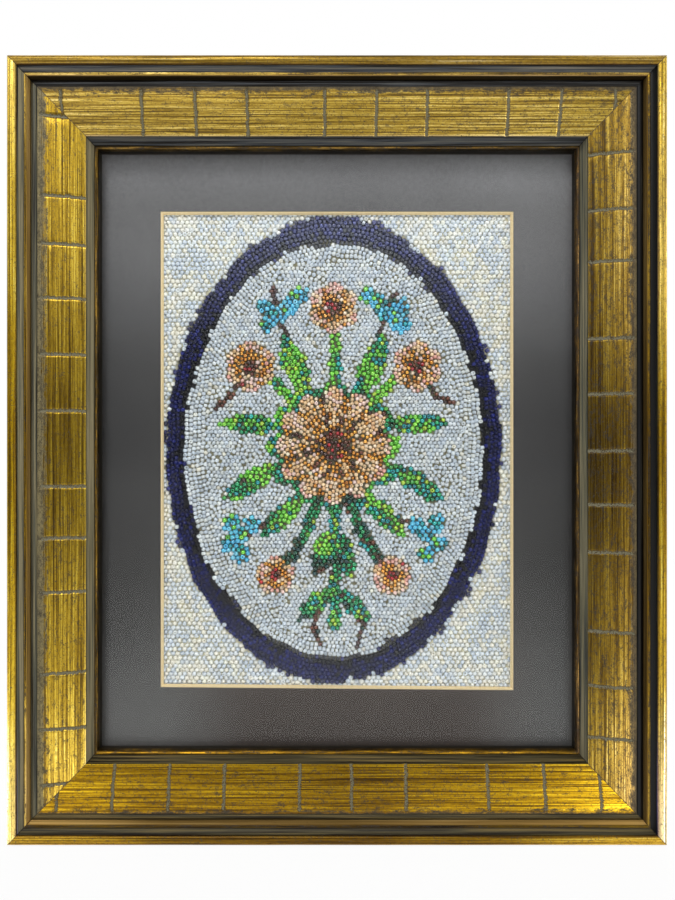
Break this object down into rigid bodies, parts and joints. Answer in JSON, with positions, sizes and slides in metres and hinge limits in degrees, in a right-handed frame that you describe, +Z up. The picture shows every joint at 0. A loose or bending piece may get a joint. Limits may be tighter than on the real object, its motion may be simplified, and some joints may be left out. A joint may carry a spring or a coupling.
{
  "type": "framed beadwork picture",
  "caption": "Wall-hung picture of glued seed beads behind glass, in a bevelled mat and a wide scored gilt moulding, closed at the back by turn buttons.",
  "frame": {"origin": "middle notch of the toothed hanger on the back of the top rail, where the wall's nail or hook carries the picture", "axes": "+X to the viewer's right, +Y through the picture towards the wall, +Z up; the picture faces -Y"},
  "size_m": [0.2588, 0.0338, 0.3097],
  "materials": {
    "gilt_moulding": "gilt leaf rubbed back over a dark ground",
    "steel": "zinc plated",
    "glazing": "clear",
    "mat_core": "matt, cut edge",
    "mat_paper": "matt",
    "foam_board": "matt",
    "hardboard": "pressed fibre, matt",
    "glue": "yellowed clear glue",
    "beads_brown": "polished",
    "beads_gold": "polished, silver lined",
    "beads_cream": "polished",
    "beads_peach": "polished",
    "beads_pink": "polished",
    "beads_green": "polished",
    "beads_sky_blue": "polished",
    "beads_pearl": "pearl lustre",
    "beads_navy": "polished",
    "brass": "stamped, brass plated",
    "bumper_rubber": "matt"
  },
  "bodies": {
    "frame": {"rail_top": "gilt_moulding", "rail_bottom": "gilt_moulding", "rail_left": "gilt_moulding", "rail_right": "gilt_moulding", "corner_nail_top_right_1": "steel", "corner_nail_top_right_2": "steel", "corner_nail_bottom_right_1": "steel", "corner_nail_bottom_right_2": "steel", "corner_nail_bottom_left_1": "steel", "corner_nail_bottom_left_2": "steel", "corner_nail_top_left_1": "steel", "corner_nail_top_left_2": "steel", "glass": "glazing", "mat_core": "mat_core", "mat_face_paper": "mat_paper", "shim_top": "foam_board", "shim_bottom": "foam_board", "shim_left": "foam_board", "shim_right": "foam_board", "bead_board": "hardboard", "glue_bed": "glue", "backing_board": "hardboard", "beads_dahlia_heart": "beads_brown", "beads_dahlia_ring": "beads_gold", "beads_dahlia_petals": "beads_cream", "beads_blossom_left": "beads_peach", "beads_blossom_top": "beads_peach", "beads_blossom_right": "beads_peach", "beads_blossom_low_left": "beads_pink", "beads_blossom_low_right": "beads_pink", "beads_foliage": "beads_green", "beads_sprig_upper_left": "beads_sky_blue", "beads_sprig_upper_right": "beads_sky_blue", "beads_sprig_lower_left": "beads_sky_blue", "beads_sprig_lower_right": "beads_sky_blue", "beads_oval_ground": "beads_pearl", "beads_oval_band": "beads_navy", "beads_corner_ground": "beads_pearl", "button_screw_1": "steel", "button_screw_2": "steel", "button_screw_3": "steel", "button_screw_4": "steel", "button_screw_5": "steel", "button_screw_6": "steel", "hanger": "steel", "hanger_nail_left": "steel", "hanger_nail_right": "steel", "bumper_left": "bumper_rubber", "bumper_right": "bumper_rubber"},
    "button_1": {"turn_button_1": "brass"},
    "button_2": {"turn_button_2": "brass"},
    "button_3": {"turn_button_3": "brass"},
    "button_4": {"turn_button_4": "brass"},
    "button_5": {"turn_button_5": "brass"},
    "button_6": {"turn_button_6": "brass"}
  },
  "joints": [
    {"name": "button_1_turn", "type": "hinge", "parent": "frame", "child": "button_1", "pos_m": [-0.065, -0.00135, -0.00784], "axis": [0, 1, 0], "continuous": true},
    {"name": "button_2_turn", "type": "hinge", "parent": "frame", "child": "button_2", "pos_m": [0.065, -0.00135, -0.00784], "axis": [0, 1, 0], "continuous": true},
    {"name": "button_3_turn", "type": "hinge", "parent": "frame", "child": "button_3", "pos_m": [0.065, -0.00135, -0.27704], "axis": [0, 1, 0], "continuous": true},
    {"name": "button_4_turn", "type": "hinge", "parent": "frame", "child": "button_4", "pos_m": [-0.065, -0.00135, -0.27704], "axis": [0, 1, 0], "continuous": true},
    {"name": "button_5_turn", "type": "hinge", "parent": "frame", "child": "button_5", "pos_m": [-0.1092, -0.00135, -0.14244], "axis": [0, 1, 0], "continuous": true},
    {"name": "button_6_turn", "type": "hinge", "parent": "frame", "child": "button_6", "pos_m": [0.1092, -0.00135, -0.14244], "axis": [0, 1, 0], "continuous": true}
  ]
}
